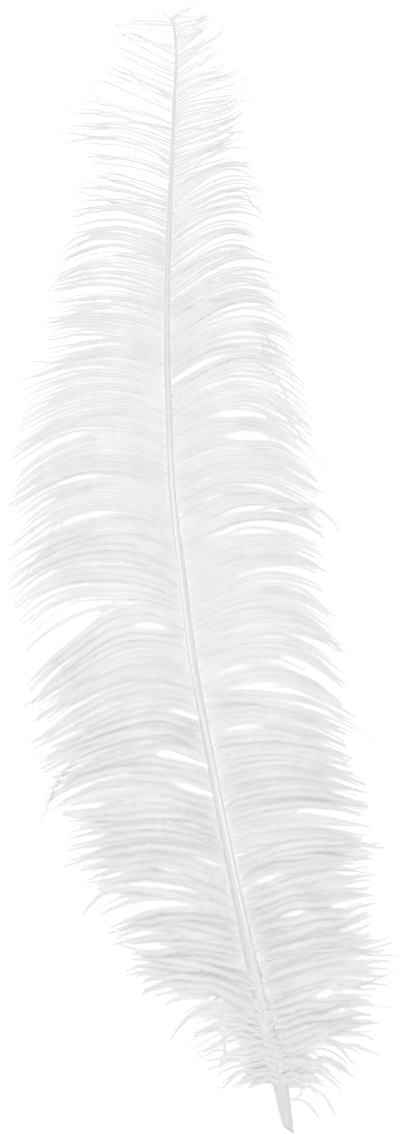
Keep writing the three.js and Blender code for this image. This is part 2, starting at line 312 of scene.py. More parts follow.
def shaft_at(y):
    """Middle x, middle z and width of the shaft, in millimetres, at heights along Y: on straight
    lines between the 800 points of its curve."""
    return [np.interp(y, SHAFT_LINE[:, 1], SHAFT_LINE[:, column]) for column in (0, 2, 3)]


# The vanes

HANDLE = 0.4  # length of a barb curve's handles, over the distance from root to end
RISE = 0.14  # how high a barb bows up from the shaft, over the same distance
ROOT_OFFSET = 0.3  # from the shaft's middle to a barb's root, over the shaft's width
END_HEIGHT = 0.35  # of a guide barb's end, mm
FLOOR_GAP = 0.25  # how far the lowest barbs stay above the surface, mm
PATH_LENGTH = 1.08  # of a barb, over the distance from root to end

# Where along a barb it begins to draw together, and where it has done so, as shares of its length
WISP_SPAN = (0.05, 0.45)
WISP_TIP_SPAN = (0.6, 1.0)
LOCK_SPAN = (0.45, 1.1)
CELL_SIZES = (0.55, 1.45)  # the smallest and largest wisp or lock, over the usual
CELL_STRENGTHS = (0.2, 1.0)
CELL_GAP = 0.3  # the least distance from a parting to the next edge, over the usual size

STRAY_SHARE = 0.04  # of a vane's barbs, where they lie as usual
STRAY_SCATTER, USUAL_SCATTER = 4.5, 0.9  # of their ends, mm
BROKEN_SHARE = 0.03
BROKEN_REACH = (0.45, 0.85)  # what is left of a broken barb
PARTING_SEARCH = (700, 60)  # roots and shares of the length tried to find a parting's place


class Vane:
    """One vane: where its barbs run, and how they draw together in locks and part."""

    def __init__(self, side, guides, partings, sizes, seed):
        rng = np.random.default_rng(seed)
        self.side = side
        self.rows = np.array(guides, float)[::-1]
        self.low, self.high = self.rows[0, 0], self.rows[-1, 0]
        self.partings = [self.find_parting(*parting) for parting in partings]
        parted = [parting[0] for parting in self.partings]
        wisps = self.cells(sizes.wisp_spacing / MM, parted, rng)
        locks = self.cells(sizes.lock_spacing / MM, parted, rng)
        self.groups = [
            (*wisps, sizes.wisp_pull, WISP_SPAN),
            (*wisps, sizes.wisp_tip_pull, WISP_TIP_SPAN),
            (*locks, sizes.lock_pull, LOCK_SPAN),
        ]

    def cells(self, size, parted, rng):
        """Edges of uneven cells along the shaft, whose barbs draw towards the middle of their
        cell, and how strongly each cell does. The edges are the running sum of random cell
        sizes. Every parted root is an edge too, in place of the edges close to it."""
        count = int((self.high - self.low) / size) + 2
        edges = self.low - size / 2 + np.cumsum(size * rng.uniform(*CELL_SIZES, count))
        edges = edges[np.abs(edges[:, None] - np.array(parted)).min(axis=1) > CELL_GAP * size]
        edges = np.sort(np.concatenate([[self.low - size], edges, parted, [self.high + size]]))
        return edges, rng.uniform(*CELL_STRENGTHS, len(edges))

    def find_parting(self, x, y, half_length, opening):
        """The root and the share of the barb's length nearest to a parting's middle, with the
        parting's half length as such a share."""
        roots = np.linspace(self.low, self.high, PARTING_SEARCH[0])
        shares = np.linspace(0.02, 1, PARTING_SEARCH[1])
        roots, shares = np.meshgrid(roots, shares, indexing="ij")
        places = self.curve(roots, shares)
        nearest = np.hypot(places[..., 0] - x, places[..., 1] - y).argmin()
        root, share = roots.flat[nearest], shares.flat[nearest]
        ends = self.curve(np.array([root, root]), np.array([0.0, 1.0]))
        reach = np.linalg.norm(ends[1] - ends[0])
        return root, share, half_length / reach, opening

    def curve(self, root, along, sway=None):
        """Places along barbs, in millimetres: root (1 - s)^3 + first handle 3 s (1 - s)^2
        + second handle 3 s^2 (1 - s) + end s^3, for the share s of the length. The handles
        point along the leaving and arriving angles. The sway is added to the end, the angles
        and the bow, and its curl bends the last third along Y."""
        sway = sway or {}
        tip_x, tip_y, leave, arrive = (
            np.interp(root, self.rows[:, 0], self.rows[:, column]) + sway.get(key, 0)
            for column, key in enumerate(("tip_x", "tip_y", "leave", "arrive"), start=1)
        )
        loft, curl = sway.get("loft", 0), sway.get("curl", 0)
        x, z, width = shaft_at(root)
        start = np.stack([x + self.side * ROOT_OFFSET * width, root, z], -1)
        end = np.stack([tip_x, tip_y, np.full_like(tip_x, END_HEIGHT)], -1)
        reach = np.linalg.norm(end - start, axis=-1)
        leave, arrive = np.radians(leave), np.radians(arrive)
        first = start.copy()
        first[..., 0] += self.side * np.cos(leave) * HANDLE * reach
        first[..., 1] += np.sin(leave) * HANDLE * reach
        first[..., 2] += (RISE + loft) * reach
        second = end.copy()
        second[..., 0] -= self.side * np.cos(arrive) * HANDLE * reach
        second[..., 1] -= np.sin(arrive) * HANDLE * reach
        second[..., 2] = 0.7 * z + (0.6 * RISE + loft) * reach
        s = along[..., None]
        places = (
            start * (1 - s) ** 3
            + 3 * first * s * (1 - s) ** 2
            + 3 * second * s**2 * (1 - s)
            + end * s**3
        )
        places[..., 1] += curl * ease(0.65, 1.25, along)
        return places

    def drawn(self, root, along):
        """The root whose guide a point of a barb follows once it has drawn into its wisp and
        its lock, and away from the partings.

        A wisp or lock adds (middle of the cell - root) * the cell's strength * the group's pull
        * how strongly barbs cling there, eased in over the group's span. A parting adds, on
        either side, (half its opening + 0.6) * (1 - (d / (1.25 half length))^2)^1.6
        * e^-(r / (4 + 2 opening)), for the distances d along the barb and r along the shaft.
        """
        shifted = root.copy()
        for edges, strength, pull, (begin, full) in self.groups:
            cell = np.clip(np.searchsorted(edges, root) - 1, 0, len(edges) - 2)
            middle = (edges[cell] + edges[cell + 1]) / 2
            cling = strength[cell] * pull * blend_table(CLING_ALONG_Y, root)
            shifted += (middle - root) * cling * ease(begin, full, along)
        for parted, share, half, opening in self.partings:
            lens = np.clip(1 - ((along - share) / (1.25 * half)) ** 2, 0, None) ** 1.6
            push = (opening / 2 + 0.6) * lens * np.exp(-np.abs(root - parted) / (4 + 2 * opening))
            shifted += np.where(root > parted, push, -push)
        return shifted

    def place(self, root, along, sway):
        """Places on the barbs as they lie, in millimetres: on their curves, plus a ripple of
        ripple s sin(wave s + phase) along Y and lift sin(pi s)^0.7 upwards, for the share s of
        the length, and nowhere lower than the surface's gap plus the height at rest."""
        places = self.curve(self.drawn(root, along), along, sway)
        ripple = sway["ripple"] * along * np.sin(sway["wave"] * along + sway["phase"])
        places[..., 1] += ripple
        places[..., 2] += sway["lift"] * np.clip(np.sin(np.pi * along), 0, 1) ** 0.7
        places[..., 2] = np.maximum(places[..., 2], FLOOR_GAP + sway["rest"])
        return places


def bounded_normal(rng, count):
    """Normal random numbers, held between -1.4 and 1.4."""
    return np.clip(rng.normal(0, 1, count), -1.4, 1.4)


def vane_barbs(vane, sizes, unruly, kept, rng):
    """Roots, lengths (as shares of their guides) and sways of a vane's barbs, from the quill to
    the tip. A sway is a slow wave along the shaft plus a random number for each barb, which is
    larger where the barbs are unruly and for strays."""
    root = np.arange(vane.low, vane.high, sizes.barb_spacing / MM)
    root = root + rng.normal(0, 0.12, len(root)) * sizes.barb_spacing / MM
    root = root[rng.random(len(root)) < blend_table(kept, root)]
    count = len(root)
    wild = blend_table(unruly, root)
    stray = rng.random(count) < STRAY_SHARE * wild
    broken = rng.random(count) < BROKEN_SHARE
    reach = 1.01 - 0.14 * rng.beta(1.1, 2.4, count)
    reach = np.where(broken, reach * rng.uniform(*BROKEN_REACH, count), reach)
    scatter = np.where(stray, STRAY_SCATTER, USUAL_SCATTER) * wild
    sway = {
        "tip_x": slow_noise(root, 22, rng) * 1.2 + bounded_normal(rng, count) * scatter,
        "tip_y": slow_noise(root, 17, rng) * 1.2 + bounded_normal(rng, count) * scatter,
        "leave": slow_noise(root, 30, rng) * 1.5 + rng.normal(0, 1.2, count),
        "arrive": slow_noise(root, 20, rng) * 3 + bounded_normal(rng, count) * np.where(stray, 20, 2.5),
        "loft": slow_noise(root, 26, rng) * 0.012 + rng.normal(0, 0.016, count) * wild,
        "curl": bounded_normal(rng, count) * np.where(stray, 5, 1.2),
        "ripple": rng.uniform(0.05, 0.3, count) * wild,
        "wave": rng.uniform(12, 30, count),
        "phase": rng.uniform(0, 2 * np.pi, count),
        "lift": rng.normal(0, 0.9, count) * wild,
        "rest": rng.gamma(1.2, 0.5, count),
    }
    return root, reach, sway


# Meshes

RIBBON = 4  # steps between barbules along one face of a barb's ribbon
ROOT_BARBULE = 1.8  # length of the barbules next to the shaft, mm
BARBULE_SCATTER = 9  # of their angle, degrees
BARBULE_LENGTHS = (0.65, 1.25)  # the shortest and longest, over the usual
BARBULE_CLEARANCE = 0.03  # from a barb's edge to a barbule's tip, at least, mm

# Half the width of a barb, in mm, as (share of its length, value) pairs
VANE_STEM = [(0, 0.22), (0.1, 0.16), (0.8, 0.11), (1, 0.05)]
STRAY_STEM = [(0, 0.2), (0.8, 0.18), (1, 0.14)]
DOWN_STEM = [(0, 0.08), (1, 0.04)]


def steps_along(lengths, step):
    """For barbs of these lengths cut in steps, four to a ribbon face: the barb of each point,
    the share of the barb's length there, and the number of steps after it."""
    pieces = RIBBON * np.maximum(np.ceil(lengths / (RIBBON * step)).astype(int), 2)
    barb = np.repeat(np.arange(len(lengths)), pieces + 1)
    first = np.concatenate([[0], np.cumsum(pieces + 1)[:-1]])
    place = np.arange(len(barb)) - first[barb]
    return barb, place / pieces[barb], pieces[barb] - place


def fringe_shape(full, distance, share):
    """Length of the barbules along a barb: (start + (full - start) * ease over the first 5 mm)
    * (1 - 0.7 * ease over the last third), with a short start at the shaft."""
    start = np.minimum(full, ROOT_BARBULE)
    return (start + (full - start) * ease(0.3, 5.0, distance)) * (1 - 0.7 * ease(0.66, 1.0, share))


def fill_mesh(name, vertices, quads, triangles, attributes, material):
    """An object at the origin from arrays of vertices (metres), four- and three-cornered faces
    and one number per vertex for each attribute. Raises an error if there is no face or if a
    vertex isn't a finite place."""
    if len(quads) + len(triangles) == 0 or not np.isfinite(vertices).all():
        raise ValueError(f"{name} has no faces, or a vertex without a place")
    mesh = bpy.data.meshes.new(name)
    mesh.vertices.add(len(vertices))
    mesh.vertices.foreach_set("co", vertices.astype(np.float32).ravel())
    corners = np.concatenate([quads.ravel(), triangles.ravel()]).astype(np.int32)
    sizes = np.concatenate([np.full(len(quads), 4), np.full(len(triangles), 3)])
    starts = np.concatenate([[0], np.cumsum(sizes)[:-1]]).astype(np.int32)
    mesh.loops.add(len(corners))
    mesh.loops.foreach_set("vertex_index", corners)
    mesh.polygons.add(len(sizes))
    mesh.polygons.foreach_set("loop_start", starts)
    mesh.update(calc_edges=True)
    for attribute, values in attributes.items():
        layer = mesh.attributes.new(attribute, "FLOAT", "POINT")
        layer.data.foreach_set("value", values.astype(np.float32))
    mesh.materials.append(material)
    piece = bpy.data.objects.new(name, mesh)
    bpy.context.scene.collection.objects.link(piece)
    return piece


def ride_as_feather(piece):
    """Declares a piece as part of the plume, standing for the model's solid."""
    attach(piece, BODY)
    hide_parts(NODE)


def barb_mesh(name, points, steps_left, roll, ramus, fringe, sizes, rng, material):
    """Barbs as ribbons with barbules down both edges.

    A ribbon's edges are its path plus and minus half its width across, at every fourth point
    of the path. At each point of the path, a barbule on each side is a thin triangle from the
    ribbon's edge two points before and after it to the point + length * (cos(lean) ahead
    +- sin(lean) across + rise up), and its tip always lies outside the ribbon.
    Across is level and square to the path, turned about it by the roll. Points and lengths are
    in millimetres.
    """
    joined = steps_left > 0
    arrived = np.concatenate([[False], joined[:-1]])
    here, back = np.flatnonzero(joined), np.flatnonzero(arrived)
    ahead = np.zeros_like(points)
    ahead[here] += points[here + 1] - points[here]
    ahead[back] += points[back] - points[back - 1]
    ahead = unit(ahead)
    level = unit(np.stack([-ahead[:, 1], ahead[:, 0], np.zeros(len(ahead))], -1))
    upright = np.cross(ahead, level)
    turn = roll[:, None]
    across = level * np.cos(turn) + upright * np.sin(turn)
    up = upright * np.cos(turn) - level * np.sin(turn)
    edge = across * ramus[:, None]
    left, right = points + edge, points - edge

    inner = np.flatnonzero((steps_left > 1) & (np.roll(steps_left, 1) == steps_left + 1))
    inner = inner[np.roll(steps_left, 2)[inner] == steps_left[inner] + 2]
    tips = []
    for sense in (1, -1):
        lean = sizes.barbule_lean + np.radians(rng.normal(0, BARBULE_SCATTER, len(inner)))
        rise = rng.normal(0.03, 0.07, len(inner))
        length = fringe[inner] * rng.uniform(*BARBULE_LENGTHS, len(inner))
        aside = np.maximum(np.sin(lean) * length, ramus[inner] + BARBULE_CLEARANCE)
        tip = (
            points[inner]
            + ahead[inner] * (np.cos(lean) * length)[:, None]
            + sense * across[inner] * aside[:, None]
            + up[inner] * (rise * length)[:, None]
        )
        tip[:, 2] = np.maximum(tip[:, 2], FLOOR_GAP / 2)
        tips.append(tip)
    vertices = np.concatenate([left, right, *tips]) * MM
    count = len(points)
    left_tip = 2 * count + np.arange(len(inner))
    right_tip = left_tip + len(inner)
    face = np.flatnonzero(joined & (steps_left % RIBBON == 0))
    quads = np.stack([face + count, face + RIBBON + count, face + RIBBON, face], -1)
    triangles = np.concatenate([
        np.stack([inner - 2, inner + 2, left_tip], -1),
        np.stack([inner + 2 + count, inner - 2 + count, right_tip], -1),
    ])
    attributes = {"barbule": np.concatenate([np.zeros(2 * count), np.ones(2 * len(inner))])}
    return fill_mesh(name, vertices, quads, triangles, attributes, material)


def build_vane(name, vane, sizes, unruly, kept, fringes, material):
    """One vane, in three pieces of like size from the quill to the tip. A barb's path is taken
    as 1.08 times as long as the line from its root to its end."""
    rng = np.random.default_rng(SEEDS[name])
    root, reach, sway = vane_barbs(vane, sizes, unruly, kept, rng)
    ends = vane.curve(np.stack([root, root]), np.stack([0 * root, 0 * root + 1]))
    length = np.linalg.norm(ends[1] - ends[0], axis=-1) * PATH_LENGTH * reach
    roll = rng.normal(0, 0.1, len(root))
    order = np.cumsum(length)
    cut = np.searchsorted(order, order[-1] * np.array([0.33, 0.67]))
    parts = np.split(np.arange(len(root)), cut)
    for part, where in zip(parts, ("quill_end", "middle", "tip_end"), strict=True):
        barb, share, steps_left = steps_along(length[part], sizes.barbule_spacing / MM)
        barb = part[barb]
        along = share * reach[barb]
        spread = {key: value[barb] for key, value in sway.items()}
        points = vane.place(root[barb], along, spread)
        distance = share * length[barb]
        ramus = blend_table(VANE_STEM, share) * blend_table(STEM_ALONG_Y, root[barb])
        fringe = sizes.barbule_length / MM * blend_table(fringes, root[barb])
        fringe = fringe_shape(fringe, distance, share)
        twist = roll[barb] + 0.12 * np.sin(share * 5 + sway["phase"][barb])
        piece = barb_mesh(
            f"{name}_{where}", points, steps_left, twist, ramus, fringe, sizes, rng, material
        )
        ride_as_feather(piece)


# The shaft

QUILL_CUT_Y = -282.4  # middle of the quill's slanting cut
QUILL_CUT_SLOPE = (-0.73, 0.25)  # how the cut slants along Y, per mm to the right and up
QUILL_CUT_FADE = 14  # from the cut to the first ring that is square to Y, mm
QUILL_LIP = 0.93  # width of the cut's first outer ring, over the quill's
QUILL_WALL = 0.34  # thickness, over half the quill's width
QUILL_HOLLOW = 26.0  # depth of the hollow, mm
HOLLOW_RINGS = 10
TIP_Y = 279.0
TIP_ROUNDING = 1 / 220  # share of the length that narrows to the end point
SHAFT_DEPTH = 0.9  # over the width
FURROW_DEPTH = 0.2  # usual, over the width
FURROW_HALF = 0.12  # half the width of the bell-shaped furrow, over the shaft's width
# The furrow's depth along Y, over its usual depth
FURROW = [
    (-228, 0.0), (-212, 0.8), (-190, 0.5), (-172, 0.95), (-112, 0.95), (-84, 0.5), (-40, 0.9),
    (10, 1.0), (36, 0.55), (80, 0.0),
]
# The furrow's middle to the right of the shaft's, over the width
FURROW_MIDDLE = [(-216, 0.1), (-166, 0.14), (-90, 0.08), (-60, -0.14), (0, -0.16), (36, 0.0)]


def shaft_rings(rings, sides):
    """The shaft as rings of points round its line: out along the wall of the quill's hollow,
    over the slanting mouth and up the outside to the tip.

    A ring is an oval, whose top is pressed in by 0.2 width * furrow * e^-(b / 0.12)^2, for the
    distance b beside the furrow's middle over the width. The cut moves a point along Y by its
    slope, fading along the shaft. Returns the points, the furrow and how far to the side each is.
    """
    out = np.linspace(0, 1, rings)
    inside = np.linspace(0, 1, HOLLOW_RINGS)
    y = np.concatenate([
        QUILL_CUT_Y + QUILL_HOLLOW * np.linspace(1, 0, HOLLOW_RINGS) ** 1.5,
        QUILL_CUT_Y + (TIP_Y - QUILL_CUT_Y) * out,
    ])
    bore = np.concatenate([
        (1 - QUILL_WALL) * ease(-0.15, 0.35, inside),
        np.where(out == 0, QUILL_LIP, 1.0) * np.clip((1 - out) / TIP_ROUNDING, 0, 1) ** 0.5,
    ])
    bore[0] = 0
    x, z, width = shaft_at(y)
    around = np.linspace(0, 2 * np.pi, sides, endpoint=False)
    around = around + 0.35 * np.sin(2 * around)
    flat, tall = np.sin(around), np.cos(around)
    half = (width / 2 * bore)[:, None]
    across = flat * half
    height = tall * half * SHAFT_DEPTH
    beside = across / width[:, None] - blend_table(FURROW_MIDDLE, y)[:, None]
    furrow = blend_table(FURROW, y)[:, None] * np.exp(-((beside / FURROW_HALF) ** 2))
    furrow = furrow * (tall > 0)
    height = height - FURROW_DEPTH * width[:, None] * furrow * (bore[:, None] > 0.9)
    near_cut = np.clip(1 - (y - QUILL_CUT_Y) / QUILL_CUT_FADE, 0, 1)[:, None]
    slant = (QUILL_CUT_SLOPE[0] * across + QUILL_CUT_SLOPE[1] * height) * near_cut
    points = np.stack([x[:, None] + across, y[:, None] + slant, z[:, None] + height], -1)
    flank = np.broadcast_to(np.abs(flat), furrow.shape)
    return points, furrow, flank


def build_shaft(sizes, material):
    """The shaft as one closed skin of rings, with a single point at each end."""
    points, furrow, flank = shaft_rings(sizes.shaft_rings, sizes.shaft_sides)
    rings, sides = points.shape[:2]
    grid = points[1:-1].reshape(-1, 3)
    vertices = np.concatenate([grid, points[:1, 0], points[-1:, 0]]) * MM
    ring = np.arange(rings - 3)[:, None] * sides
    column = np.arange(sides)
    beside = (column + 1) % sides
    corners = [ring + column, ring + beside, ring + sides + beside, ring + sides + column]
    quads = np.stack(corners, -1).reshape(-1, 4)
    last = (rings - 3) * sides
    start, end = np.full(sides, len(grid)), np.full(sides, len(grid) + 1)
    caps = np.concatenate([
        np.stack([start, beside, column], -1),
        np.stack([end, last + column, last + beside], -1),
    ])
    attributes = {
        "furrow": np.concatenate([furrow[1:-1].ravel(), [0, 0]]),
        "flank": np.concatenate([flank[1:-1].ravel(), [0, 0]]),
    }
    piece = fill_mesh("shaft", vertices, quads, caps, attributes, material)
    piece.data.shade_smooth()
    ride_as_feather(piece)


# Stray barbs, and down round the quill

STRAY_ROOT = 0.35  # from the shaft's middle to a stray barb's root, over the shaft's width
STRAY_SHIFTS = (0.25, 0.9)  # of the root's and the end's place at random, mm
STRAY_BOWS = (0.06, 0.12)  # over the barb's length
STRAY_ENDS = (0.3, 1.2)  # heights of the ends, mm
STRAY_BARBULES = 0.42  # their length, over the vanes'

DOWN_LOW, DOWN_HIGH = (-260, -222), (-222, -200)  # where the roots lie along Y, mm
DOWN_LOW_SHARE = 0.88
DOWN_LEAN, DOWN_CURL = 6, -42  # the leaving angle, and the turn from there to the end, degrees
DOWN_LENGTHS = (8, 24)  # mm
DOWN_BARBULE = 2.4  # mm
OVER_SHARE = 0.62  # of the down that starts on top of the quill
OVER_LEAN = 34
OVER_LENGTHS = (5, 13)
SKIN_REACH = 0.85  # from the shaft's middle to each side, over its width


def stray_paths(strays, step, rng):
    """Points along stray barbs, in millimetres. Each follows a smooth curve through its plan
    points, which are shifted at random, more towards its end. Its height is the root's height
    * (1 - s)^1.5 + bow * sin(pi s) + the end's height * s, for the share s of its length."""
    points, share, steps_left, distance = [], [], [], []
    for count, root_y, *way in strays:
        middle, root_z, width = shaft_at(root_y)
        end_x = way[-2]
        root_x = middle + np.sign(end_x - middle) * STRAY_ROOT * width
        plan = np.array([root_x, root_y, *way]).reshape(-1, 2)
        spread = np.linspace(*STRAY_SHIFTS, len(plan))[:, None]
        for _ in range(count):
            line = smooth_line(plan + rng.normal(0, 1, (len(plan), 2)) * spread, count=300)
            run = np.concatenate([[0], np.cumsum(np.linalg.norm(np.diff(line, axis=0), axis=1))])
            steps = RIBBON * max(int(np.ceil(run[-1] / (RIBBON * step))), 2)
            s = np.linspace(0, 1, steps + 1)
            at = s * run[-1]
            root_height = root_z + rng.normal(0, 0.3)
            bow = run[-1] * rng.uniform(*STRAY_BOWS)
            height = root_height * (1 - s) ** 1.5 + bow * np.sin(np.pi * s)
            height = np.maximum(height + rng.uniform(*STRAY_ENDS) * s, FLOOR_GAP)
            x, y = np.interp(at, run, line[:, 0]), np.interp(at, run, line[:, 1])
            points.append(np.stack([x, y, height], -1))
            share.append(s)
            steps_left.append(steps - np.arange(steps + 1))
            distance.append(at)
    return map(np.concatenate, (points, share, steps_left, distance))


def build_strays(name, strays, fringes, sizes, material):
    """Stray barbs. Each is turned about its path by 0.6 sin(d / 9 + a phase), for the distance
    d from its root in millimetres."""
    rng = np.random.default_rng(SEEDS[name])
    points, share, steps_left, distance = stray_paths(strays, sizes.barbule_spacing / MM, rng)
    ramus = blend_table(STRAY_STEM, share) * blend_table(STEM_ALONG_Y, points[:, 1])
    fringe = STRAY_BARBULES * sizes.barbule_length / MM * blend_table(fringes, points[:, 1])
    fringe = fringe_shape(fringe, distance, share)
    roll = 0.6 * np.sin(distance / 9 + points[:, 1].mean())
    piece = barb_mesh(name, points, steps_left, roll, ramus, fringe, sizes, rng, material)
    ride_as_feather(piece)


def down_paths(count, step, rng):
    """Points along short curling barbs round and over the top of the quill, in millimetres.

    Each turns evenly from its leaving angle through its own curl, and sinks towards the surface
    as the square of the share of its length. Those that start on top of the quill lean more,
    sink evenly, and stay above a skin: the height of the quill's top times
    sqrt(1 - (d / (0.85 width))^2), for the distance d beside its middle.
    """
    low_down = rng.random(count) < DOWN_LOW_SHARE
    root = np.where(low_down, rng.uniform(*DOWN_LOW, count), rng.uniform(*DOWN_HIGH, count))
    x, z, width = shaft_at(root)
    over = rng.random(count) < OVER_SHARE
    furthest = 0.1 + 0.26 * ease(-226, -250, root)
    spot = np.where(over, rng.uniform(-0.5, furthest, count), rng.choice([-0.38, 0.38], count))
    side = np.where(spot < 0, -1.0, 1.0)
    lean = np.where(over, OVER_LEAN, DOWN_LEAN) + 5 * slow_noise(root, 12, rng)
    angle = np.radians(lean + rng.normal(0, 1, count) * np.where(over, 15, 5))
    curl = np.radians(DOWN_CURL + 8 * slow_noise(root, 15, rng) + rng.normal(0, 9, count))
    length = np.where(over, rng.uniform(*OVER_LENGTHS, count), rng.uniform(*DOWN_LENGTHS, count))
    top = np.where(over, 0.45 * np.sqrt(1 - (1.7 * spot) ** 2), rng.uniform(-0.3, 0.3, count))
    start = np.stack([x + spot * width, root, z + top * width], -1)
    barb, share, steps_left = steps_along(length, step)
    heading = angle[barb] + curl[barb] * share / 2
    distance = length[barb] * share
    bow = np.where(over, 0.0, rng.uniform(0.02, 0.08, count))
    sink = rng.uniform(0.4, 1.0, count) * start[:, 2]
    sinking = np.where(over, 1.0, 2.0)
    points = start[barb] + np.stack([
        side[barb] * np.cos(heading) * distance,
        np.sin(heading) * distance,
        bow[barb] * distance - sink[barb] * share ** sinking[barb],
    ], -1)
    points[:, 2] = np.maximum(points[:, 2], FLOOR_GAP + 0.3)
    x, z, width = shaft_at(points[:, 1])
    oval = np.sqrt(np.clip(1 - ((points[:, 0] - x) / (SKIN_REACH * width)) ** 2, 0, 1))
    skin = (z + 0.5 * SHAFT_DEPTH * width) * oval + rng.uniform(0.05, 0.25, count)[barb]
    points[:, 2] = np.where(over[barb] & (oval > 0), np.maximum(points[:, 2], skin), points[:, 2])
    return barb, points, share, steps_left, distance


def build_down(sizes, material):
    """The down. Its barbules grow from 0.4 of their length over the first 4 mm of a barb, and
    shrink to 0.4 again over its last part."""
    rng = np.random.default_rng(SEEDS["down"])
    count = sizes.down_barbs
    barb, points, share, steps_left, distance = down_paths(count, sizes.barbule_spacing / MM, rng)
    ramus = blend_table(DOWN_STEM, share)
    fringe = DOWN_BARBULE * (0.4 + 0.6 * ease(0.5, 4, distance)) * (1 - 0.6 * ease(0.6, 1, share))
    roll = rng.normal(0, 0.1, count)[barb]
    piece = barb_mesh("down", points, steps_left, roll, ramus, fringe, sizes, rng, material)
    ride_as_feather(piece)


# Materials

# What mapped() carries a value over to: its low and high end, and what each becomes
BARB_WARMTH = (0.08, -0.14, 0.0, 1.0)  # share of the down's colour, by the place along Y
MOTTLING = (0.3, 0.7, 0.95, 1.0)  # brightness, by noise
STEM_SHADE = (-0.05, 0.16, 0.97, 0.82)  # brightness of the stems, by the place along Y
TIP_ZONE, TIP_STEM_SHADE = (0.2, 0.275), 0.9  # along Y, and the brightness of stems at its end
STEM_EDGE = (0.0, 0.3)  # of the attribute barbule
SHAFT_WARMTH = (0.06, -0.26, 0.0, 1.0)  # share of the quill's colour, by the place along Y
FURROW_EDGE = (0.15, 0.9, 0.0, 1.0)  # share of the painted highlight colour in the furrow, by the attribute furrow
STREAKS = (0.3, 0.7, 0.93, 1.03)  # brightness, by noise
STREAK_ROUGHNESS = (0.3, 0.7, 0.38, 0.52)  # by noise
PAINTED_FLANK_LIGHT = (-0.02, 0.06, 1.15, 1.2)  # painted light on the flanks that lifts their shade: brightness by the place along Y
FLANK_EDGE = (0.55, 0.97)  # of the attribute flank, over which the painted light on the flanks comes in


def new_material(name):
    """An empty node material, with a helper that adds a node and sets its inputs."""
    material = bpy.data.materials.new(name)
    material.use_nodes = True
    tree = material.node_tree
    tree.nodes.clear()

    def add(kind, values=None, **settings):
        node = tree.nodes.new(kind)
        for key, value in settings.items():
            setattr(node, key, value)
        for key, value in (values or {}).items():
            if isinstance(value, bpy.types.NodeSocket):
                tree.links.new(value, node.inputs[key])
            else:
                node.inputs[key].default_value = value
        return node

    return material, add


def mapped(add, value, low, high, at_low, at_high):
    """The value carried from the range low to high onto at_low to at_high, held at the ends."""
    return add("ShaderNodeMapRange", {
        "Value": value, "From Min": low, "From Max": high, "To Min": at_low, "To Max": at_high,
    }).outputs["Result"]


def mixed(add, share, first, second, blend_type="MIX"):
    """A colour between two sockets or colours, by a share from 0 to 1, or their product."""
    inputs = {"Factor": share, 6: first, 7: second}
    return add("ShaderNodeMix", inputs, data_type="RGBA", blend_type=blend_type).outputs[2]


def barb_material(looks):
    """Matt white barbs that let a little light through: slightly darker and warmer towards the
    quill, with faint mottling, and with stems that are darker than their barbules. The plume's
    barbs share it."""
    if "barb_white" in bpy.data.materials:
        return bpy.data.materials["barb_white"]
    material, add = new_material("barb_white")
    place = add("ShaderNodeTexCoord").outputs["Object"]
    height = add("ShaderNodeSeparateXYZ", {"Vector": place}).outputs["Y"]
    low_down = mapped(add, height, *BARB_WARMTH)
    ground = mixed(add, low_down, (*looks.barb_colour, 1), (*looks.down_colour, 1))
    grain = {"Vector": place, "Scale": 70.0, "Detail": 3.0}
    mottle = mapped(add, add("ShaderNodeTexNoise", grain).outputs["Fac"], *MOTTLING)
    barbule = add("ShaderNodeAttribute", attribute_name="barbule").outputs["Fac"]
    stem_shade = mapped(add, height, *STEM_SHADE)
    to_the_tip = mapped(add, height, *TIP_ZONE, stem_shade, TIP_STEM_SHADE)
    stem = mapped(add, barbule, *STEM_EDGE, to_the_tip, 1.0)
    shade = add("ShaderNodeMath", {0: stem, 1: mottle}, operation="MULTIPLY").outputs[0]
    colour = mixed(add, 1.0, ground, shade, "MULTIPLY")
    surface = add("ShaderNodeBsdfPrincipled", {
        "Base Color": colour, "Roughness": 0.7, "Sheen Weight": 0.1, "Specular IOR Level": 0.25,
    })
    through = add("ShaderNodeBsdfTranslucent", {"Color": colour})
    both = add("ShaderNodeMixShader", {0: 0.04, 1: surface.outputs[0], 2: through.outputs[0]})
    add("ShaderNodeOutputMaterial", {"Surface": both.outputs[0]})
    return material


def shaft_material(looks):
    """Pale horn with fine streaks along the shaft, with a painted highlight in the furrow and painted
    light on the flanks that lifts their shade.
    """
    material, add = new_material("shaft_horn")
    place = add("ShaderNodeTexCoord").outputs["Object"]
    stretched = add("ShaderNodeMapping", {"Vector": place, "Scale": (1.0, 0.05, 1.0)}).outputs[0]
    grain = {"Vector": stretched, "Scale": 1400.0, "Detail": 4.0}
    streak = add("ShaderNodeTexNoise", grain).outputs["Fac"]
    height = add("ShaderNodeSeparateXYZ", {"Vector": place}).outputs["Y"]
    low_down = mapped(add, height, *SHAFT_WARMTH)
    horn = mixed(add, low_down, (*looks.shaft_colour, 1), (*looks.quill_colour, 1))
    furrow = add("ShaderNodeAttribute", attribute_name="furrow").outputs["Fac"]
    # Painted highlight: the furrow is coloured near white, standing in for the light it catches
    furrow_highlight = mapped(add, furrow, *FURROW_EDGE)
    ground = mixed(add, furrow_highlight, horn, (*looks.furrow_highlight_colour, 1))
    streaks = mapped(add, streak, *STREAKS)
    flank = add("ShaderNodeAttribute", attribute_name="flank").outputs["Fac"]
    # Painted light: the flanks are brightened to lift the shade that falls on the shaft's sides
    edges = mapped(add, flank, *FLANK_EDGE, 1.0, mapped(add, height, *PAINTED_FLANK_LIGHT))
    shade = add("ShaderNodeMath", {0: streaks, 1: edges}, operation="MULTIPLY").outputs[0]
    colour = mixed(add, 1.0, ground, shade, "MULTIPLY")
    rough = mapped(add, streak, *STREAK_ROUGHNESS)
    surface = add("ShaderNodeBsdfPrincipled", {"Base Color": colour, "Roughness": rough})
    add("ShaderNodeOutputMaterial", {"Surface": surface.outputs[0]})
    return material


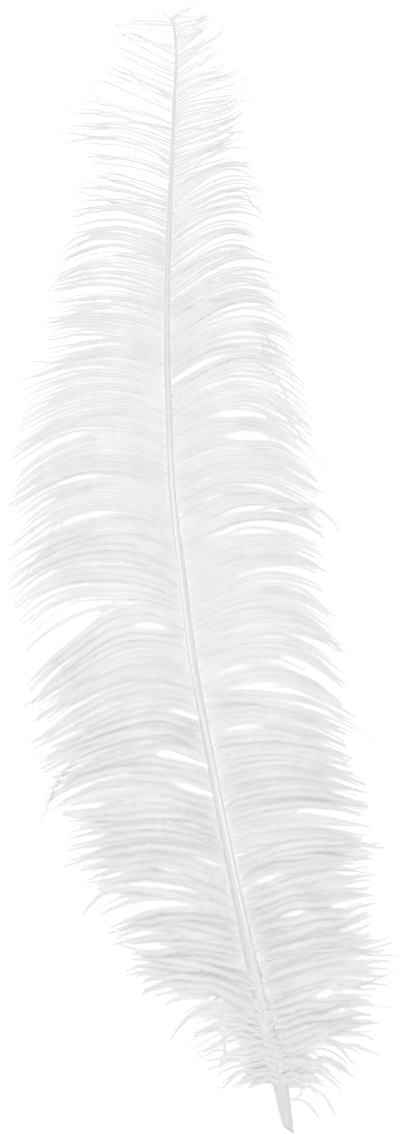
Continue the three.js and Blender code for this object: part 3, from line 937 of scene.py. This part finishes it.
def floor_material(looks):
    """A pale, softly glowing table top."""
    material, add = new_material("pale_floor")
    surface = add("ShaderNodeBsdfPrincipled", {
        "Base Color": (*looks.floor_colour, 1), "Roughness": 0.9,
        "Emission Color": (1, 1, 1, 1), "Emission Strength": looks.floor_glow,
    })
    add("ShaderNodeOutputMaterial", {"Surface": surface.outputs[0]})
    return material


# Settings, operators and panel


def metres(name, description, default):
    """A length, in metres."""
    return FloatProperty(
        name=name, description=description, default=default, subtype="DISTANCE", unit="LENGTH"
    )


def factor(name, description, default):
    """A share of a whole."""
    return FloatProperty(name=name, description=description, default=default, subtype="FACTOR")


def tint(name, description, default):
    """Red, green and blue from 0 to 1."""
    return FloatVectorProperty(
        name=name, description=description, default=default, subtype="COLOR", size=3
    )


class PlumeSizes(bpy.types.PropertyGroup):
    """Sizes of the plume's fine structure."""

    barb_spacing: metres("Barb Spacing", "Distance between barb roots along the shaft", 0.0015)
    barbule_spacing: metres("Barbule Spacing", "Distance between barbules along a barb", 0.00015)
    barbule_length: metres("Barbule Length", "Length of a barbule in the middle of the plume", 0.0032)
    barbule_lean: FloatProperty(
        name="Barbule Lean", description="Angle between a barbule and its barb",
        default=float(np.radians(34)), subtype="ANGLE", unit="ROTATION",
    )
    wisp_spacing: metres("Wisp Spacing", "Distance between wisps of a few clinging barbs", 0.0036)
    wisp_pull: factor("Wisp Pull", "Share by which a wisp's barbs draw together", 0.2)
    wisp_tip_pull: factor("Wisp Tip Pull", "Further share by which their ends draw together", 0.24)
    lock_spacing: metres("Lock Spacing", "Distance between locks along the shaft", 0.013)
    lock_pull: factor("Lock Pull", "Share by which the ends of a lock's barbs draw together", 0.14)
    shaft_rings: IntProperty(name="Shaft Rings", description="Rings along the shaft", default=420)
    shaft_sides: IntProperty(name="Shaft Sides", description="Points round the shaft", default=36)
    down_barbs: IntProperty(name="Down Barbs", description="Curling barbs by the quill", default=240)


class PlumeLooks(bpy.types.PropertyGroup):
    """Colours and light."""

    barb_colour: tint("Barbs", "Colour of the barbs above the middle", (0.98, 0.98, 0.98))
    down_colour: tint("Down", "Colour of the barbs near the quill", (0.94, 0.938, 0.929))
    shaft_colour: tint("Shaft", "Colour of the shaft", (0.78, 0.78, 0.78))
    quill_colour: tint("Quill", "Colour of the bare quill", (0.815, 0.803, 0.798))
    # Painted highlight colour along the furrow down the shaft
    furrow_highlight_colour: tint("Furrow", "Colour of the furrow down the shaft", (0.98, 0.98, 0.98))
    floor_colour: tint("Floor", "Colour of the floor", (0.25, 0.25, 0.25))
    floor_glow: FloatProperty(
        name="Floor Glow", description="Light that the floor gives by itself", default=0.86,
    )
    sky_strength: FloatProperty(
        name="Sky Strength", description="Brightness of the even light all round", default=0.4,
    )
    key_power: FloatProperty(
        name="Key Power", description="Power of the large soft light", default=29.0,
        subtype="POWER", unit="POWER",
    )
    camera_height: metres("Camera Height", "Distance from the floor to the camera", 1.587)


LENS, SENSOR = 100, 36  # mm
CAMERA_Y = 0.0005
FLOOR_REACH = 4.0  # from the middle to each side
KEY_WIDTH = 0.8
KEY_PLACE = (-0.07, 0.12, 2.2)
KEY_TURN = (-0.054, -0.032, 0.0)  # radians, so that it faces the plume


class PLUME_OT_stage(bpy.types.Operator):
    """Adds the camera, the floor and the light"""

    bl_idname = "plume.stage"
    bl_label = "Stage"

    def execute(self, context):
        looks = context.scene.plume_looks
        collection = context.scene.collection
        view = bpy.data.cameras.new("camera")
        view.lens = LENS
        view.sensor_width = SENSOR
        camera = bpy.data.objects.new("camera", view)
        camera.location = (0, CAMERA_Y, looks.camera_height)
        collection.objects.link(camera)
        context.scene.camera = camera

        corners = FLOOR_REACH * np.array([[-1, -1, 0], [1, -1, 0], [1, 1, 0], [-1, 1, 0]])
        quad = np.array([[0, 1, 2, 3]])
        none = np.zeros((0, 3), int)
        floor = fill_mesh("floor", corners, quad, none, {}, floor_material(looks))

        lamp = bpy.data.lights.new("key", "AREA")
        lamp.shape = "DISK"
        lamp.size = KEY_WIDTH
        lamp.energy = looks.key_power
        key = bpy.data.objects.new("key", lamp)
        key.location = KEY_PLACE
        key.rotation_euler = KEY_TURN
        collection.objects.link(key)

        sky = bpy.data.worlds.new("sky")
        sky.use_nodes = True
        background = sky.node_tree.nodes["Background"]
        background.inputs["Color"].default_value = (1, 1, 1, 1)
        background.inputs["Strength"].default_value = looks.sky_strength
        context.scene.world = sky
        context.scene.view_settings.view_transform = "Standard"
        return {"FINISHED"}


class PLUME_OT_shaft(bpy.types.Operator):
    """Adds the quill and the shaft with its furrow"""

    bl_idname = "plume.shaft"
    bl_label = "Shaft"

    def execute(self, context):
        build_shaft(context.scene.plume_sizes, shaft_material(context.scene.plume_looks))
        return {"FINISHED"}


class PLUME_OT_vanes(bpy.types.Operator):
    """Adds the barbs of both vanes, with their barbules, drawn together in locks"""

    bl_idname = "plume.vanes"
    bl_label = "Vanes"

    def execute(self, context):
        sizes = context.scene.plume_sizes
        material = barb_material(context.scene.plume_looks)
        left = Vane(-1, LEFT_GUIDES, LEFT_PARTINGS, sizes, SEEDS["left_cells"])
        right = Vane(1, RIGHT_GUIDES, RIGHT_PARTINGS, sizes, SEEDS["right_cells"])
        build_vane("left_vane", left, sizes, LEFT_UNRULY, LEFT_KEPT, LEFT_FRINGE, material)
        build_vane("right_vane", right, sizes, RIGHT_UNRULY, RIGHT_KEPT, RIGHT_FRINGE, material)
        return {"FINISHED"}


class PLUME_OT_strays(bpy.types.Operator):
    """Adds the single barbs that stray from the vanes"""

    bl_idname = "plume.strays"
    bl_label = "Stray Barbs"

    def execute(self, context):
        sizes = context.scene.plume_sizes
        material = barb_material(context.scene.plume_looks)
        build_strays("tip_strays", TIP_STRAYS, RIGHT_FRINGE, sizes, material)
        build_strays("left_strays", LEFT_STRAYS, LEFT_FRINGE, sizes, material)
        build_strays("right_strays", RIGHT_STRAYS, RIGHT_FRINGE, sizes, material)
        build_strays("quill_strays", QUILL_STRAYS, QUILL_FRINGE, sizes, material)
        return {"FINISHED"}


class PLUME_OT_down(bpy.types.Operator):
    """Adds the down round the quill"""

    bl_idname = "plume.down"
    bl_label = "Down"

    def execute(self, context):
        build_down(context.scene.plume_sizes, barb_material(context.scene.plume_looks))
        return {"FINISHED"}


class PLUME_PT_panel(bpy.types.Panel):
    """The plume's settings and steps"""

    bl_label = "Ostrich Plume"
    bl_idname = "PLUME_PT_panel"
    bl_space_type = "VIEW_3D"
    bl_region_type = "UI"
    bl_category = "Plume"

    def draw(self, context):
        for operator in OPERATORS:
            self.layout.operator(operator.bl_idname)
        for group in (context.scene.plume_sizes, context.scene.plume_looks):
            box = self.layout.box()
            for name in group.bl_rna.properties.keys():
                if name not in ("rna_type", "name"):
                    box.prop(group, name)


OPERATORS = (PLUME_OT_stage, PLUME_OT_shaft, PLUME_OT_vanes, PLUME_OT_strays, PLUME_OT_down)
CLASSES = (PlumeSizes, PlumeLooks, *OPERATORS, PLUME_PT_panel)


def register():
    """Registers the classes and puts the settings on the scene."""
    for cls in CLASSES:
        bpy.utils.register_class(cls)
    bpy.types.Scene.plume_sizes = PointerProperty(type=PlumeSizes)
    bpy.types.Scene.plume_looks = PointerProperty(type=PlumeLooks)


def unregister():
    """Takes the settings and the classes away again."""
    del bpy.types.Scene.plume_looks
    del bpy.types.Scene.plume_sizes
    for cls in reversed(CLASSES):
        bpy.utils.unregister_class(cls)


def main():
    register()
    bpy.ops.plume.stage()
    bpy.ops.plume.shaft()
    bpy.ops.plume.vanes()
    bpy.ops.plume.strays()
    bpy.ops.plume.down()


if __name__ == "__main__":
    main()
